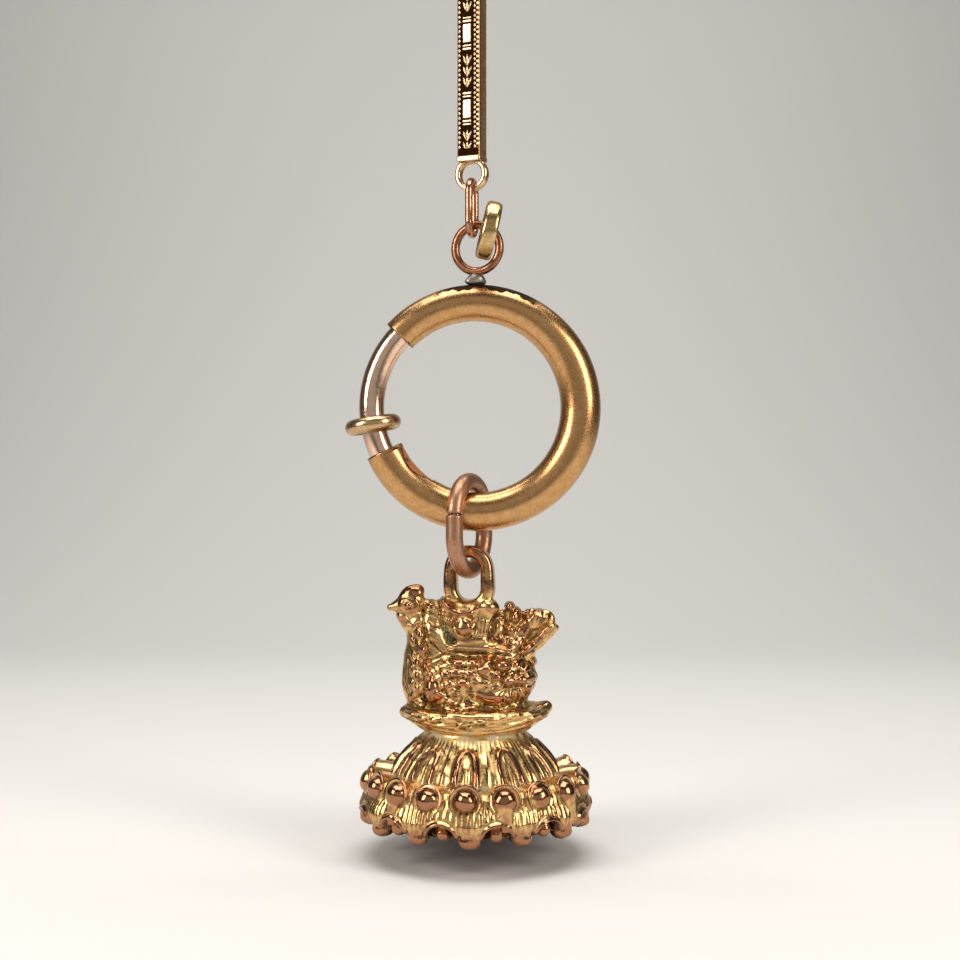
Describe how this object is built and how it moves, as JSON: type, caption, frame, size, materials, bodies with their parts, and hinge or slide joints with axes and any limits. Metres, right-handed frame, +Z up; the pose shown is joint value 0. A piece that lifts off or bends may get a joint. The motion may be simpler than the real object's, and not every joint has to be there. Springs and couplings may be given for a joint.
{
  "type": "fob seal",
  "caption": "Fob seal with a bird on a domed, beaded base, hanging by a split link from a sprung bolt ring on the last bar of its chain.",
  "frame": {"origin": "crown of the hole in the bar's top loop, where the next link of the chain bears", "axes": "+Z up as it hangs at rest, +X to the right of the front view, and the front with the bolt ring's face towards -Y"},
  "size_m": [0.0213, 0.0192, 0.0722],
  "materials": {
    "bar_gold": "bright rose gold, engraved",
    "link_copper": "worn copper-coloured gold wire",
    "ring_gold": "aged yellow gold, finely scratched, with a scorch by the solder",
    "band_gold": "polished pale gold",
    "bolt_gold": "polished rosy gold rod with a yellow collar",
    "split_copper": "dull copper-coloured wire",
    "seal_gold": "chased gold, yellow in the hollows and rubbed coppery on the high points",
    "stone": "polished brown agate"
  },
  "bodies": {
    "hanger": {"chain_bar": "bar_gold", "small_link": "link_copper", "bolt_ring_body": "ring_gold", "band_ring": "band_gold"},
    "bolt": {"ring_bolt": "bolt_gold"},
    "link": {"split_link": "split_copper"},
    "seal": {"seal_body": "seal_gold", "seal_stone": "stone"}
  },
  "joints": [
    {"name": "bolt_slide", "type": "hinge", "parent": "hanger", "child": "bolt", "pos_m": [0.00035, 0, -0.03746], "axis": [0, 1, 0], "range_deg": [0, 45], "stiffness_Nm_per_rad": 0.001, "springref_deg": -57.3},
    {"name": "link_swing", "type": "hinge", "parent": "hanger", "child": "link", "pos_m": [-0.0002, 0, -0.04616], "axis": [1, 0, 0], "range_deg": [-45, 45]},
    {"name": "seal_swing", "type": "hinge", "parent": "link", "child": "seal", "pos_m": [-0.0002, 0, -0.05102], "axis": [0, 1, 0], "range_deg": [-30, 30]}
  ]
}
